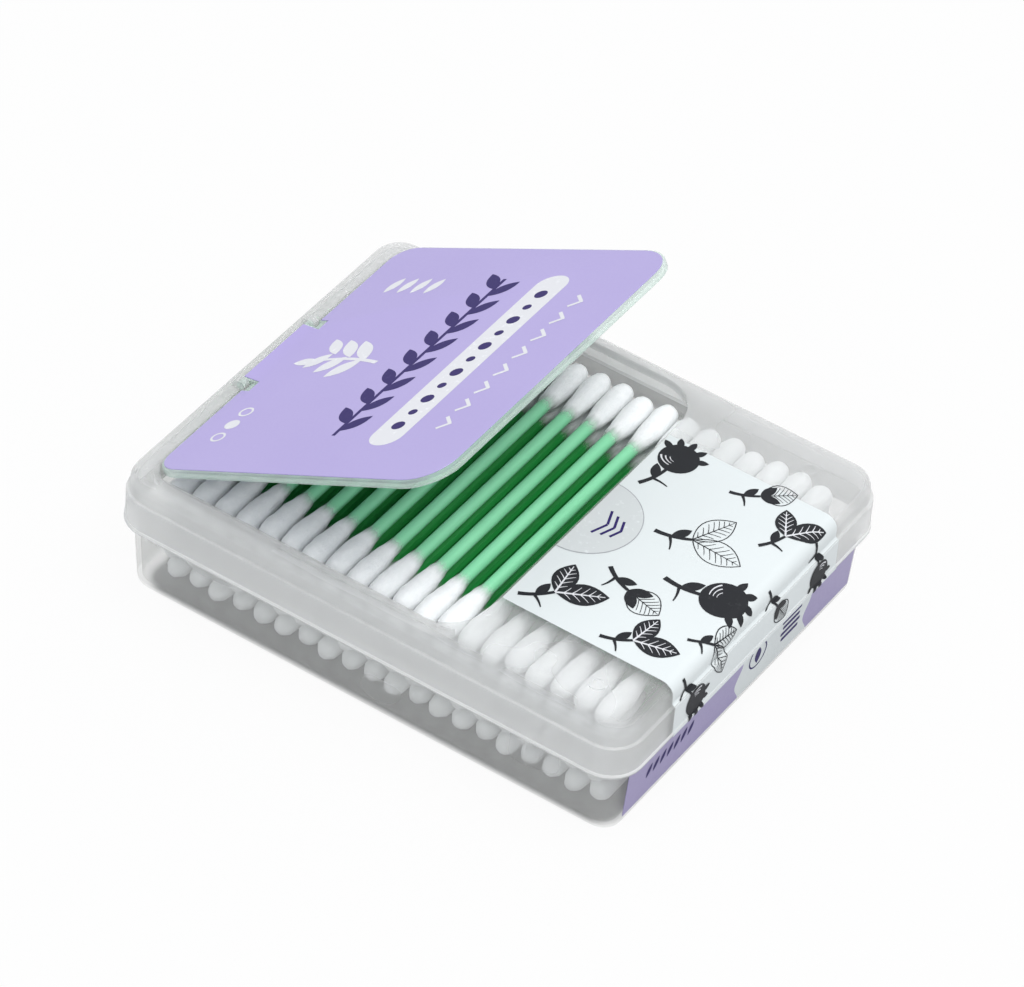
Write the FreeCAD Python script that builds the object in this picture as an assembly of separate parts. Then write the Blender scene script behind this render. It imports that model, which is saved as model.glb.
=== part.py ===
import FreeCAD, Part
import math
import os
from FreeCAD import Vector

# Cotton swab box, all sizes in millimetres.
# The origin is the centre of the box's underside and +Z is up.
# +X is the end with the folded label, the flap is hinged at the -X end, and the swabs lie along Y.

# Cotton swabs
SWAB_LENGTH = 73.0
STEM_DIAMETER = 2.5
STEM_INSET = 2.2
COTTON_LENGTH = 13.5
COTTON_DIAMETER = 4.7
COTTON_NECK = 3.0
COTTON_SHOULDER = 4.3
COTTON_END = 2.9
SHOULDER_PLACE = 8.4
BELLY_PLACE = 2.2
SWAB_SIDES = 6
SWAB_GAP = 0.06
SWAB_SCATTER = 0.5
SCATTER_TURN = 2.4
LAYER_SHIFT = 0.6
SWABS_PER_LAYER = 20
LAYERS = 5

# Room round the swabs: beyond the ends of a row, past their tips and over the top layer
ROW_CLEARANCE = 2.85
TIP_CLEARANCE = 2.55
HEAD_CLEARANCE = 1.5

# Tray that holds the swabs
TRAY_WALL = 1.0
TRAY_FLOOR = 1.0
TRAY_DRAFT = 1.2
TRAY_BASE_ROUND = 2.0
RIM_BELOW_TOP = 5.4

# Flats that a corner of the box and a rounded edge are drawn with
CORNER_FLATS = 5
ROUND_FLATS = 4

# Cover that slips over the tray
COVER_WALL = 0.9
COVER_CORNER = 6.4
COVER_TOP_ROUND = 2.5
COVER_STEP = 0.7
SKIRT_DEPTH = 11.5
SKIRT_CLEARANCE = 0.3
LIP_HEIGHT = 0.8
LIP_DEPTH = 0.25
PIP_DIAMETER = 3.4
PIP_HOLLOW = 2.0
PIP_HEIGHT = 0.35
PIP_SIDES = 10
PIP_FROM_END = 11.4
PIP_FROM_SIDE = 8.9

# Opening in the cover, with a ledge along each side for the flap to come down on
OPENING_REAR_MARGIN = 4.8
OPENING_FRONT_MARGIN = 36.7
OPENING_SIDE_MARGIN = 3.9
OPENING_REAR_CORNER = 5.4
OPENING_FRONT_CORNER = 8.4
LEDGE_WIDTH = 1.8
LEDGE_THICKNESS = 0.8
LEDGE_GAP = 0.3

# Flap, its hinge pin and the two lugs that hold the pin
FLAP_GAP = 0.4
FLAP_PLATE = 0.9
FLAP_RIM_DEPTH = 1.5
FLAP_RIM_WALL = 0.8
FLAP_OPEN_ANGLE = 27.5
PIN_DIAMETER = 1.5
PIN_REACH = 1.0
PIN_CLEARANCE = 0.08
PIN_END_GAP = 0.2
HINGE_BACK = 0.4
HINGE_RISE = 0.3
TAB_WIDTH = 19.0
TAB_RAMP = 3.2
LUG_THICKNESS = 1.6
LUG_WALL = 0.65
LUG_GAP = 0.3
NOTCH_GAP = 0.35

# Labels
LABEL_THICKNESS = 0.15
LABEL_MARGIN = 0.5
FRONT_LABEL_WIDTH = 53.0
FRONT_LABEL_BASE_WIDTH = 73.6
FRONT_LABEL_BOTTOM = 2.6
FRONT_LABEL_BRIDGE = 1.8

# Sizes worked out from the ones above, from the swabs out to the cover
swab_pitch = COTTON_DIAMETER + SWAB_GAP
layer_pitch = math.sqrt(swab_pitch ** 2 - LAYER_SHIFT ** 2)
swabs_x = ((SWABS_PER_LAYER - 1) * swab_pitch + LAYER_SHIFT + COTTON_DIAMETER) / 2
swabs_y = SWAB_LENGTH / 2 + SWAB_SCATTER
swabs_z = TRAY_FLOOR + COTTON_DIAMETER + (LAYERS - 1) * layer_pitch
cover_floor_z = swabs_z + HEAD_CLEARANCE
cover_z = cover_floor_z + COVER_WALL
tray_z = cover_z - RIM_BELOW_TOP
skirt_z = cover_z - SKIRT_DEPTH
tray_inset = COVER_WALL + SKIRT_CLEARANCE
floor_inset = tray_inset + TRAY_DRAFT * (tray_z - TRAY_FLOOR) / tray_z + TRAY_WALL
cover_x = swabs_x + ROW_CLEARANCE + floor_inset
cover_y = swabs_y + TIP_CLEARANCE + floor_inset
opening_rear = OPENING_REAR_MARGIN - cover_x
opening_front = cover_x - OPENING_FRONT_MARGIN
opening_y = cover_y - OPENING_SIDE_MARGIN
ledge_y = opening_y - LEDGE_WIDTH
ledge_z = cover_z - FLAP_RIM_DEPTH - LEDGE_GAP
flap_rear = opening_rear + FLAP_GAP
flap_front = opening_front - FLAP_GAP
flap_y = opening_y - FLAP_GAP
flap_rear_corner = OPENING_REAR_CORNER - FLAP_GAP
flap_front_corner = OPENING_FRONT_CORNER - FLAP_GAP
pin_radius = PIN_DIAMETER / 2
hole_radius = pin_radius + PIN_CLEARANCE
lug_radius = hole_radius + LUG_WALL
tab_y = TAB_WIDTH / 2
lug_y = tab_y + LUG_GAP
hinge_x = opening_rear - HINGE_BACK
hinge_z = cover_z + HINGE_RISE
hinge_point = Vector(hinge_x, 0, hinge_z)
relief_x = hinge_x + lug_radius + LUG_GAP
relief_y = lug_y + LUG_THICKNESS + LUG_GAP
along_y = Vector(0, 1, 0)
beyond = 2 * cover_x


def slab(x0, x1, y0, y1, z0, z1):
    return Part.makeBox(x1 - x0, y1 - y0, z1 - z0, Vector(x0, y0, z0))


def upright_edges(solid, side):
    # Upright corner edges on the -X side (side = -1) or the +X side (side = 1).
    middle = solid.BoundBox.Center.x
    return [edge for edge in solid.Edges
            if edge.tangentAt(edge.FirstParameter).isParallel(Vector(0, 0, 1), 1e-6)
            and (edge.CenterOfMass.x - middle) * side > 0]


def rounded_slab(x0, x1, half_y, z0, z1, rear_corner, front_corner):
    block = slab(x0, x1, -half_y, half_y, z0, z1)
    block = block.makeFillet(rear_corner, upright_edges(block, -1))
    return block.makeFillet(front_corner, upright_edges(block, 1))


def solid_through(rings):
    # Flat-sided solid that passes through matching rings of corners.
    faces = [Part.Face(Part.makePolygon(ring + ring[:1])) for ring in (rings[0], rings[-1])]
    for near, far in zip(rings, rings[1:]):
        for i in range(len(near)):
            j = (i + 1) % len(near)
            faces.append(Part.Face(Part.makePolygon([near[i], near[j], far[j], far[i], near[i]])))
    shell = Part.makeShell(faces)
    shell.sewShape()
    solid = Part.makeSolid(shell)
    return solid if solid.Volume > 0 else solid.reversed()


def box_ring(inset, z):
    # The box's outline with its rounded corners, set in from the cover's largest outline.
    radius = COVER_CORNER - inset
    points = []
    for quarter, (side_x, side_y) in enumerate(((1, 1), (-1, 1), (-1, -1), (1, -1))):
        centre = Vector(side_x * (cover_x - COVER_CORNER), side_y * (cover_y - COVER_CORNER), z)
        for flat in range(CORNER_FLATS + 1):
            turn = math.pi / 2 * (quarter + flat / CORNER_FLATS)
            points.append(centre + Vector(radius * math.cos(turn), radius * math.sin(turn), 0))
    return points


def box_solid(section):
    # A section, as insets and heights, carried round the box's outline.
    return solid_through([box_ring(inset, z) for inset, z in section])


def rounded_edge(inset, z, radius, upwards):
    # Quarter round between a level face at z and a wall at the given inset, from the face.
    rise = radius if upwards else -radius
    turns = [math.pi / 2 * flat / ROUND_FLATS for flat in range(ROUND_FLATS + 1)]
    return [(inset + radius * (1 - math.sin(turn)), z + rise * (1 - math.cos(turn)))
            for turn in turns]


def xz_prism(points, y0, y1):
    # Prism along Y from a closed profile in X and Z.
    corners = [Vector(x, y0, z) for x, z in points]
    return Part.Face(Part.makePolygon(corners + corners[:1])).extrude(along_y * (y1 - y0))


def y_rod(x, z, radius, y0, y1):
    return Part.makeCylinder(radius, y1 - y0, Vector(x, y0, z), along_y)


def both_sides(shape):
    return [shape, shape.mirror(Vector(0, 0, 0), along_y)]


def opened(shape):
    # The flap's pieces are drawn shut and turned about the hinge pin to rest part open.
    return shape.rotated(hinge_point, along_y, -FLAP_OPEN_ANGLE)


# Tray

def tray_inset_at(z):
    return tray_inset + TRAY_DRAFT * (tray_z - z) / tray_z


def make_base_tray():
    # From the middle of the underside, up the outside, over the rim and down to the floor.
    inner_round = TRAY_BASE_ROUND - TRAY_WALL
    outside = rounded_edge(tray_inset_at(0), 0, TRAY_BASE_ROUND, True)
    inside = rounded_edge(tray_inset_at(TRAY_FLOOR) + TRAY_WALL, TRAY_FLOOR, inner_round, True)
    rim = [(tray_inset, tray_z), (tray_inset + TRAY_WALL, tray_z)]
    return box_solid(outside + rim + inside[::-1])


# Cover

def cover_outside(grow):
    # From the middle of the top: a rounded edge, a step out above the tray's rim, and a small lip.
    step_z = tray_z + COVER_WALL + grow
    lip_z = skirt_z + LIP_HEIGHT + grow
    edge = rounded_edge(COVER_STEP - grow, cover_z + grow, COVER_TOP_ROUND + grow, False)
    return edge + [(COVER_STEP - grow, step_z), (-grow, step_z), (-grow, lip_z),
                   (-LIP_DEPTH - grow, lip_z), (-LIP_DEPTH - grow, skirt_z)]


def cover_inside():
    # The tray's rim meets the shoulder between the two bands.
    inset = COVER_STEP + COVER_WALL
    edge = rounded_edge(inset, cover_floor_z, COVER_TOP_ROUND - COVER_WALL, False)
    return [(COVER_WALL, skirt_z), (COVER_WALL, tray_z), (inset, tray_z)] + edge[::-1]


def opening_form(grow, z0, z1):
    return rounded_slab(opening_rear - grow, opening_front + grow, opening_y + grow, z0, z1,
                        OPENING_REAR_CORNER + grow, OPENING_FRONT_CORNER + grow)


def flap_ledges():
    # A riser and a ledge along each side of the opening.
    frame = opening_form(COVER_WALL, ledge_z - LEDGE_THICKNESS, cover_z - FLAP_PLATE)
    frame = frame.cut(opening_form(0, ledge_z, cover_z))
    return frame.cut(slab(-beyond, beyond, -ledge_y, ledge_y, 0, cover_z))


def hinge_lug():
    ear = y_rod(hinge_x, hinge_z, lug_radius, lug_y, lug_y + LUG_THICKNESS)
    foot = slab(hinge_x - lug_radius, opening_rear, lug_y, lug_y + LUG_THICKNESS,
                cover_floor_z, hinge_z)
    return ear.fuse(foot)


def top_pip():
    # Small moulded ring on the top, drawn from its foot over the rim to the floor of its hollow.
    rim_z = cover_z + PIP_HEIGHT
    place = Vector(cover_x - PIP_FROM_END, cover_y - PIP_FROM_SIDE, 0)
    turns = [2 * math.pi * side / PIP_SIDES for side in range(PIP_SIDES)]
    circle = [Vector(math.cos(turn), math.sin(turn), 0) for turn in turns]
    return solid_through([[place + point * diameter / 2 + Vector(0, 0, z) for point in circle]
                          for diameter, z in ((PIP_DIAMETER, cover_floor_z), (PIP_DIAMETER, rim_z),
                                              (PIP_HOLLOW, rim_z), (PIP_HOLLOW, cover_z))])


def make_cover():
    shell = box_solid(cover_outside(0) + cover_inside())
    notch = slab(hinge_x - pin_radius - NOTCH_GAP, relief_x, -lug_y, lug_y,
                 cover_floor_z, cover_z)
    shell = shell.cut([opening_form(0, cover_floor_z, cover_z), notch])
    details = both_sides(hinge_lug()) + both_sides(top_pip()) + [flap_ledges()]
    hole_y = lug_y + PIN_REACH + PIN_END_GAP
    hole = y_rod(hinge_x, hinge_z, hole_radius, -hole_y, hole_y)
    return shell.fuse(details).cut(hole).removeSplitter()


# Flap

def hinge_tab():
    # Ramp from the flap's plate up to the hinge pin.
    under = cover_z - FLAP_PLATE
    return xz_prism([(hinge_x, hinge_z), (hinge_x, hinge_z + pin_radius),
                     (hinge_x + TAB_RAMP, cover_z), (hinge_x + TAB_RAMP, under),
                     (hinge_x + pin_radius, under)], -tab_y, tab_y)


def make_flap():
    low = cover_z - FLAP_RIM_DEPTH
    plate = rounded_slab(flap_rear, flap_front, flap_y, low, cover_z,
                         flap_rear_corner, flap_front_corner)
    under = rounded_slab(flap_rear + FLAP_RIM_WALL, flap_front - FLAP_RIM_WALL,
                         flap_y - FLAP_RIM_WALL, low, cover_z - FLAP_PLATE,
                         flap_rear_corner - FLAP_RIM_WALL, flap_front_corner - FLAP_RIM_WALL)
    relief = slab(flap_rear, relief_x, tab_y, relief_y, low, cover_z)
    plate = plate.cut([under] + both_sides(relief))
    pin_y = lug_y + PIN_REACH
    pin = y_rod(hinge_x, hinge_z, pin_radius, -pin_y, pin_y)
    return plate.fuse([hinge_tab(), pin]).removeSplitter()


def make_flap_label():
    # Sheet over the flap, with a strap that runs up the hinge tab and round the pin.
    top = cover_z + LABEL_THICKNESS
    ramp_x = hinge_x + TAB_RAMP
    sheet = rounded_slab(flap_rear + LABEL_MARGIN, flap_front - LABEL_MARGIN, flap_y - LABEL_MARGIN,
                         cover_z, top,
                         flap_rear_corner - LABEL_MARGIN, flap_front_corner - LABEL_MARGIN)
    notch_y = relief_y + LABEL_MARGIN
    sheet = sheet.cut(slab(flap_rear, ramp_x, -notch_y, notch_y, cover_z, top))
    strap_y = tab_y - LABEL_MARGIN
    crown = hinge_z + pin_radius
    strap = xz_prism([(hinge_x, crown), (ramp_x, cover_z), (ramp_x, top),
                      (hinge_x, crown + LABEL_THICKNESS)], -strap_y, strap_y)
    wrap = y_rod(hinge_x, hinge_z, pin_radius + LABEL_THICKNESS, -strap_y, strap_y)
    wrap = wrap.common(slab(-beyond, hinge_x, -strap_y, strap_y, hinge_z, beyond))
    pin = y_rod(hinge_x, hinge_z, pin_radius, -strap_y, strap_y)
    return sheet.fuse([strap.cut(pin), wrap.cut(pin)]).removeSplitter()


# Label over the cover's +X end and down the tray

def tray_block(grow):
    return box_solid([(tray_inset_at(z) - grow, z) for z in (0, tray_z)])


def make_front_label():
    half = FRONT_LABEL_WIDTH / 2
    base_half = FRONT_LABEL_BASE_WIDTH / 2
    front = opening_front + LABEL_MARGIN
    skin = box_solid(cover_outside(LABEL_THICKNESS)).cut(box_solid(cover_outside(0)))
    over_cover = skin.common(slab(front, beyond, -half, half, skirt_z, beyond))
    lip_x = cover_x + LIP_DEPTH
    bridge_z = skirt_z - FRONT_LABEL_BRIDGE
    tray_x = cover_x - tray_inset_at(bridge_z)
    bridge = xz_prism([(lip_x, skirt_z), (lip_x + LABEL_THICKNESS, skirt_z),
                       (tray_x + LABEL_THICKNESS, bridge_z), (tray_x, bridge_z)], -half, half)
    tray_skin = tray_block(LABEL_THICKNESS).cut(tray_block(0))
    wide = slab(0, beyond, -base_half, base_half, FRONT_LABEL_BOTTOM, skirt_z - LABEL_MARGIN)
    bridged = slab(0, beyond, -half, half, bridge_z, skirt_z)
    on_tray = tray_skin.common(wide).cut(bridged)
    return over_cover.fuse([bridge, on_tray]).removeSplitter()


# Swabs

def swab_place(layer, index):
    # Layers lie nearly straight above each other, every second one set a little aside.
    aside = LAYER_SHIFT / 2 if layer % 2 == 0 else -LAYER_SHIFT / 2
    x = (index - (SWABS_PER_LAYER - 1) / 2) * swab_pitch + aside
    y = SWAB_SCATTER * math.sin(SCATTER_TURN * (index + layer * SWABS_PER_LAYER))
    z = TRAY_FLOOR + COTTON_DIAMETER / 2 + layer * layer_pitch
    return Vector(x, y, z)


def ring(centre, diameter, y):
    # Flat-sided outline across a swab, with a corner to each side.
    step = 2 * math.pi / SWAB_SIDES
    return [centre + Vector(diameter / 2 * math.cos(step * i), y, diameter / 2 * math.sin(step * i))
            for i in range(SWAB_SIDES)]


def make_stem(centre, length):
    return solid_through([ring(centre, STEM_DIAMETER, side * length / 2) for side in (-1, 1)])


def make_wads(centre, profile):
    # The cotton at both ends of a stem, from diameters and their depths from the swab's end.
    return [solid_through([ring(centre, diameter, side * (SWAB_LENGTH / 2 - depth))
                           for diameter, depth in profile]) for side in (-1, 1)]


def save(node, solids):
    shape = solids[0] if len(solids) == 1 else Part.makeCompound(solids)
    shape.exportStep("parts/" + node + ".step")


def save_layer(layer):
    # A layer under the top one: stems and cotton with plain ends, which meet face to face.
    places = [swab_place(layer, index) for index in range(SWABS_PER_LAYER)]
    profile = [(COTTON_NECK, COTTON_LENGTH), (COTTON_DIAMETER, 0)]
    stems = [make_stem(place, SWAB_LENGTH - 2 * COTTON_LENGTH) for place in places]
    wads = [wad for place in places for wad in make_wads(place, profile)]
    save("layer_%d_stems" % (layer + 1), stems)
    save("layer_%d_cotton" % (layer + 1), wads)


def save_top_swab(index):
    # A swab in full: cotton wound round a stem that ends inside it.
    place = swab_place(LAYERS - 1, index)
    profile = [(STEM_DIAMETER, STEM_INSET), (STEM_DIAMETER, COTTON_LENGTH),
               (COTTON_NECK, COTTON_LENGTH), (COTTON_SHOULDER, SHOULDER_PLACE),
               (COTTON_DIAMETER, BELLY_PLACE), (COTTON_END, 0)]
    save("swab_%02d_stem" % (index + 1), [make_stem(place, SWAB_LENGTH - 2 * STEM_INSET)])
    save("swab_%02d_cotton" % (index + 1), make_wads(place, profile))


def main():
    os.makedirs("parts", exist_ok=True)
    save("base_tray", [make_base_tray()])
    save("cover", [make_cover()])
    save("flap", [opened(make_flap())])
    save("flap_label", [opened(make_flap_label())])
    save("front_label", [make_front_label()])
    for layer in range(LAYERS - 1):
        save_layer(layer)
    for index in range(SWABS_PER_LAYER):
        save_top_swab(index)


main()
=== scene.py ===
import bpy
import bmesh
import math
import random
from mathutils import Matrix, Vector, noise


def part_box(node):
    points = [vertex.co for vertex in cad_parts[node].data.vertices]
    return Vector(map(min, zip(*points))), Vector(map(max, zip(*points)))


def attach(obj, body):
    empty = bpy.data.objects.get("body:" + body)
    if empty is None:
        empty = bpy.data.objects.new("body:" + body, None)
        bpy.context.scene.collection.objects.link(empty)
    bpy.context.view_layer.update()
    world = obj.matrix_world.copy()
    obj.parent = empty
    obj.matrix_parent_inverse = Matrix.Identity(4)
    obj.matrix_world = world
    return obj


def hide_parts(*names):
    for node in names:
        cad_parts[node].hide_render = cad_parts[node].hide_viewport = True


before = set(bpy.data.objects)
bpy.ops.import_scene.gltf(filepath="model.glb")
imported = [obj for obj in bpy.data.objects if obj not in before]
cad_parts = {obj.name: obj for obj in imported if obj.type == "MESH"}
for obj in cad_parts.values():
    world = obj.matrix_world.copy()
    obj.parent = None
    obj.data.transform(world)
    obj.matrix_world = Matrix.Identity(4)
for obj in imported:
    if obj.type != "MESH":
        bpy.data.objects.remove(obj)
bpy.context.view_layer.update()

# Sizes in millimetres, in the part's frame
MM = 0.001
LIP_DEPTH = 0.25
RIM_BELOW_TOP = 5.4
COVER_X = 1000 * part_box("cover")[1].x - LIP_DEPTH
COVER_Y = 1000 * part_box("cover")[1].y - LIP_DEPTH
TRAY_Z = 1000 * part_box("base_tray")[1].z
COVER_Z = TRAY_Z + RIM_BELOW_TOP
SKIRT_Z = 1000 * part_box("cover")[0].z
WALL = 0.9
CORNER = 6.4
STEP = 0.7
STEP_Z = TRAY_Z + WALL
TOP_ROUND = 2.5

# Small rings near the corners of the solid end
PIP_X = COVER_X - 11.4
PIP_Y = COVER_Y - 8.9
PIP_RADIUS = 1.7
PIP_HOLLOW = 1.0
PIP_RISE = 0.35

# Tray: its wall stands behind the cover's side and leans in towards the floor
TRAY_WALL = 1.0
TRAY_INSET = 1.2
TRAY_DRAFT = 1.2
TRAY_ROUND = 1.95
RIM_EDGE = 0.15

# Opening as rear end, front end and half width, with its corners and the ledges along its sides
OPENING = (4.8 - COVER_X, COVER_X - 36.7, COVER_Y - 3.9)
REAR_CORNER = 5.4
FRONT_CORNER = 8.4
LEDGE_WIDTH = 1.8
LEDGE_THICKNESS = 0.8
LEDGE_DROP = 1.8

# Flap and hinge
FLAP_GAP = 0.4
FLAP_PLATE = 0.9
FLAP_RIM = 1.5
FLAP_RIM_WALL = 0.8
HINGE_X = OPENING[0] - 0.4
HINGE_Z = COVER_Z + 0.3
OPEN_ANGLE = math.radians(27.5)
PIN_RADIUS = 0.75
PIN_REACH = 1.0
NOTCH_GAP = 0.35
TAB_Y = 9.5
TAB_RAMP = 3.2
LUG_Y = TAB_Y + 0.3
LUG_END = LUG_Y + 1.6
LUG_RADIUS = 1.48

# Labels; the front one spans from the lip to the tray's wall over the height of its bridge
LABEL_THICKNESS = 0.15
LABEL_MARGIN = 0.5
LABEL_LIFT = 0.02
INK_LIFT = 0.03
FRONT_LABEL_THICKNESS = 0.12
FRONT_LABEL_HALF = 26.5
WALL_LABEL_HALF = 36.8
WALL_LABEL_BOTTOM = 2.7
LABEL_BRIDGE = 1.8

# Swabs in rows; every other layer is shifted a little, and each swab is scattered along its length
SWAB_PITCH = 4.76
SWAB_HALF = 36.5
SWABS_PER_LAYER = 20
LOWER_LAYERS = 4
STEM_RADIUS = 1.25
STEM_INSET = 3.0
TIP_RADIUS = 2.35
LAYER_SHIFT = 0.6
SCATTER = 0.5
SCATTER_TURN = 2.4


# Shader maths

class Socket:
    # One output of a node in a material's tree, with arithmetic.
    def __init__(self, tree, out):
        self.tree = tree
        self.out = out

    def node(self, kind, settings=None, out=0, **inputs):
        made = self.tree.nodes.new(kind)
        for name, value in (settings or {}).items():
            setattr(made, name, value)
        for name, value in inputs.items():
            numbered = name[0] == "i" and name[1:].isdigit()
            slot = made.inputs[int(name[1:]) if numbered else name.replace("_", " ")]
            if isinstance(value, Socket):
                self.tree.links.new(value.out, slot)
            else:
                slot.default_value = value
        return Socket(self.tree, made.outputs[out])

    def math(self, operation, *others):
        return self.node("ShaderNodeMath", {"operation": operation}, i0=self,
                         **{"i%d" % (i + 1): other for i, other in enumerate(others)})

    def __add__(self, other):
        return self.math("ADD", other)

    def __mul__(self, other):
        return self.math("MULTIPLY", other)

    def __sub__(self, other):
        return self.math("SUBTRACT", other)

    def __rsub__(self, other):
        return (self * -1.0) + other

    def __gt__(self, other):
        return self.math("GREATER_THAN", other)

    def __lt__(self, other):
        return self.math("LESS_THAN", other)

    def soft(self, low, high):
        # 0 below low, 1 above high.
        return self.node("ShaderNodeMapRange", {"interpolation_type": "SMOOTHSTEP"}, Value=self,
                         From_Min=low, From_Max=high)

    def mix(self, low, high):
        # Colour that goes from low to high with this factor.
        return self.node("ShaderNodeMix", {"data_type": "RGBA"}, 2, i0=self, i6=low, i7=high)

    def parts(self):
        split = self.tree.nodes.new("ShaderNodeSeparateXYZ")
        self.tree.links.new(self.out, split.inputs[0])
        return [Socket(self.tree, output) for output in split.outputs]

    def scaled(self, x, y, z):
        return self.node("ShaderNodeMapping", None, 0, Vector=self, Scale=(x, y, z))

    def noise(self, scale, detail=3.0, roughness=0.5):
        return self.node("ShaderNodeTexNoise", None, 0, Vector=self, Scale=scale, Detail=detail,
                         Roughness=roughness)

    def bump(self, strength, distance):
        return self.node("ShaderNodeBump", None, 0, Height=self, Strength=strength, Distance=distance)


def colour(red, green, blue):
    return (red, green, blue, 1.0)


def material(name, build):
    # A material around one Principled shader; build sets its inputs from the coordinates.
    made = bpy.data.materials.new(name)
    made.use_nodes = True
    tree = made.node_tree
    shader = tree.nodes["Principled BSDF"]
    coordinates = tree.nodes.new("ShaderNodeTexCoord")
    place = Socket(tree, coordinates.outputs["Object"])
    place.uv = Socket(tree, coordinates.outputs["UV"])
    for socket, value in build(place).items():
        if isinstance(value, Socket):
            tree.links.new(value.out, shader.inputs[socket])
        else:
            shader.inputs[socket].default_value = value
    return made


def frosted(tint, roughness, haze, body, clear=0.0, lines=()):
    # Milky see-through plastic: body is how much of the light its surface stops, clear how much less
    # of it the cover's top stops, and lines are heights where a thicker veil paints a highlight along an
    # edge, or a thinner one lets a plate show darker as painted shade.
    def build(place):
        grain = place.noise(2600.0, 2.0)
        cloud = place.noise(40.0, 2.0)
        height = place.parts()[2]
        veil = cloud.soft(0.2, 0.8) * 0.05 + body
        if clear:
            veil = veil - height.soft((COVER_Z - 2.4) * MM, (COVER_Z - 0.5) * MM) * clear
        # Painted highlight or painted shade: the veil grows or thins near each line's height.
        for level, half, strength in lines:
            near = 1.0 - (height - level * MM).math("ABSOLUTE").soft(half * MM * 0.5, half * MM)
            veil = veil + near * strength
        return {"Base Color": cloud.soft(0.25, 0.8).mix(tint, tuple(0.97 * c for c in tint[:3]) + (1.0,)),
                "Roughness": cloud.soft(0.3, 0.75) * 0.06 + roughness,
                "IOR": 1.49,
                "Transmission Weight": haze,
                "Alpha": veil,
                "Normal": grain.bump(0.03, 0.00002)}
    return build


def cotton(place):
    fibres = place.scaled(1.0, 0.35, 1.0).noise(4200.0, 4.0, 0.7)
    lumps = place.noise(750.0, 3.0)
    shade = (fibres * 0.5 + lumps * 0.5).soft(0.25, 0.75)
    # The wads thin out into a few fibres along the stem, between these distances from its middle.
    bare, full = 0.0218, 0.0262
    along = place.parts()[1].math("ABSOLUTE")
    streaks = place.scaled(1.0, 0.12, 1.0).noise(1500.0, 2.0)
    neck = along + (streaks - 0.5) * 0.0020
    return {"Base Color": shade.mix(colour(0.80, 0.825, 0.835), colour(0.90, 0.915, 0.92)),
            "Roughness": 0.95,
            "Sheen Weight": 0.35,
            "Sheen Roughness": 0.5,
            "Specular IOR Level": 0.15,
            "Alpha": neck.soft(bare, full),
            "Normal": (fibres * 0.6 + lumps * 0.4).bump(0.8, 0.0004)}


def stem_plastic(pale, full):
    def build(place):
        ribs = place.scaled(1.0, 0.02, 1.0).noise(2600.0, 2.0)
        cloud = place.scaled(1.0, 0.15, 1.0).noise(260.0, 2.0)
        return {"Base Color": cloud.soft(0.2, 0.8).mix(full, pale),
                "Roughness": ribs.soft(0.2, 0.8) * 0.1 + 0.38,
                "Specular IOR Level": 0.4,
                "Normal": ribs.bump(0.2, 0.00005)}
    return build


def label_paper(base, deep):
    def build(place):
        cloud = place.noise(22.0, 3.0)
        grain = place.noise(1800.0, 3.0)
        return {"Base Color": cloud.soft(0.2, 0.8).mix(deep, base),
                "Roughness": grain.soft(0.2, 0.8) * 0.08 + 0.34,
                "Coat Weight": 0.25,
                "Coat Roughness": 0.22,
                "Normal": (grain * 0.25 + cloud * 0.75).bump(0.10, 0.0003)}
    return build


def wall_print(place):
    # Along the label: u in metres from the sheet's upper edge, v in metres across.
    u, v = place.uv.parts()[:2]
    white = colour(0.59, 0.63, 0.635)
    lilac = colour(0.275, 0.235, 0.43)
    # White field with waved sides, between two places across the wall.
    field_start, field_end = -0.0010, 0.0215
    wave = v + (u * 700.0).math("SINE") * 0.0009
    on_wall = u.soft(WALL_START, WALL_START + 0.0002)
    field = (wave > field_start) * (wave < field_end)
    grain = place.noise(1800.0, 3.0)
    cloud = place.noise(22.0, 3.0)
    paper = cloud.soft(0.2, 0.8).mix(colour(0.56, 0.595, 0.60), white)
    violet = cloud.soft(0.2, 0.8).mix(colour(0.26, 0.22, 0.41), lilac)
    return {"Base Color": (on_wall * (1.0 - field)).mix(paper, violet),
            "Roughness": grain.soft(0.2, 0.8) * 0.08 + 0.32,
            "Coat Weight": 0.25,
            "Coat Roughness": 0.22,
            "Normal": (grain * 0.25 + cloud * 0.75).bump(0.10, 0.0003)}


def ink(base):
    def build(place):
        wear = place.noise(900.0, 4.0, 0.65)
        light = tuple(min(1.0, c * 1.15 + 0.012) for c in base[:3]) + (1.0,)
        return {"Base Color": wear.soft(0.55, 0.75).mix(base, light),
                "Roughness": wear * 0.1 + 0.45,
                "Specular IOR Level": 0.2}
    return build


# Height, half width and strength of such lines: a painted highlight along the cover's lip and painted shade
# along the tray's base
LIP_HIGHLIGHT_LINES = ((SKIRT_Z + 0.7, 0.35, 0.42),)
BASE_SHADE_LINES = ((0.5, 1.6, -0.16),)
FROST_COVER = material("frosted_cover", frosted(colour(0.76, 0.765, 0.76), roughness=0.62, haze=0.40,
                                                body=0.54, clear=0.28, lines=LIP_HIGHLIGHT_LINES))
# The tray's veil thins along its base: painted shade, darker towards the bottom.
FROST_TRAY = material("frosted_tray", frosted(colour(0.70, 0.705, 0.685), roughness=0.50, haze=0.45,
                                              body=0.27, lines=BASE_SHADE_LINES))
FROST_FLAP = material("frosted_flap", frosted(colour(0.66, 0.80, 0.73), roughness=0.20, haze=0.40,
                                              body=0.50))
COTTON = material("cotton_wool", cotton)
STEM = material("stem_plastic", stem_plastic(colour(0.25, 0.68, 0.40), colour(0.20, 0.61, 0.34)))
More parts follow.
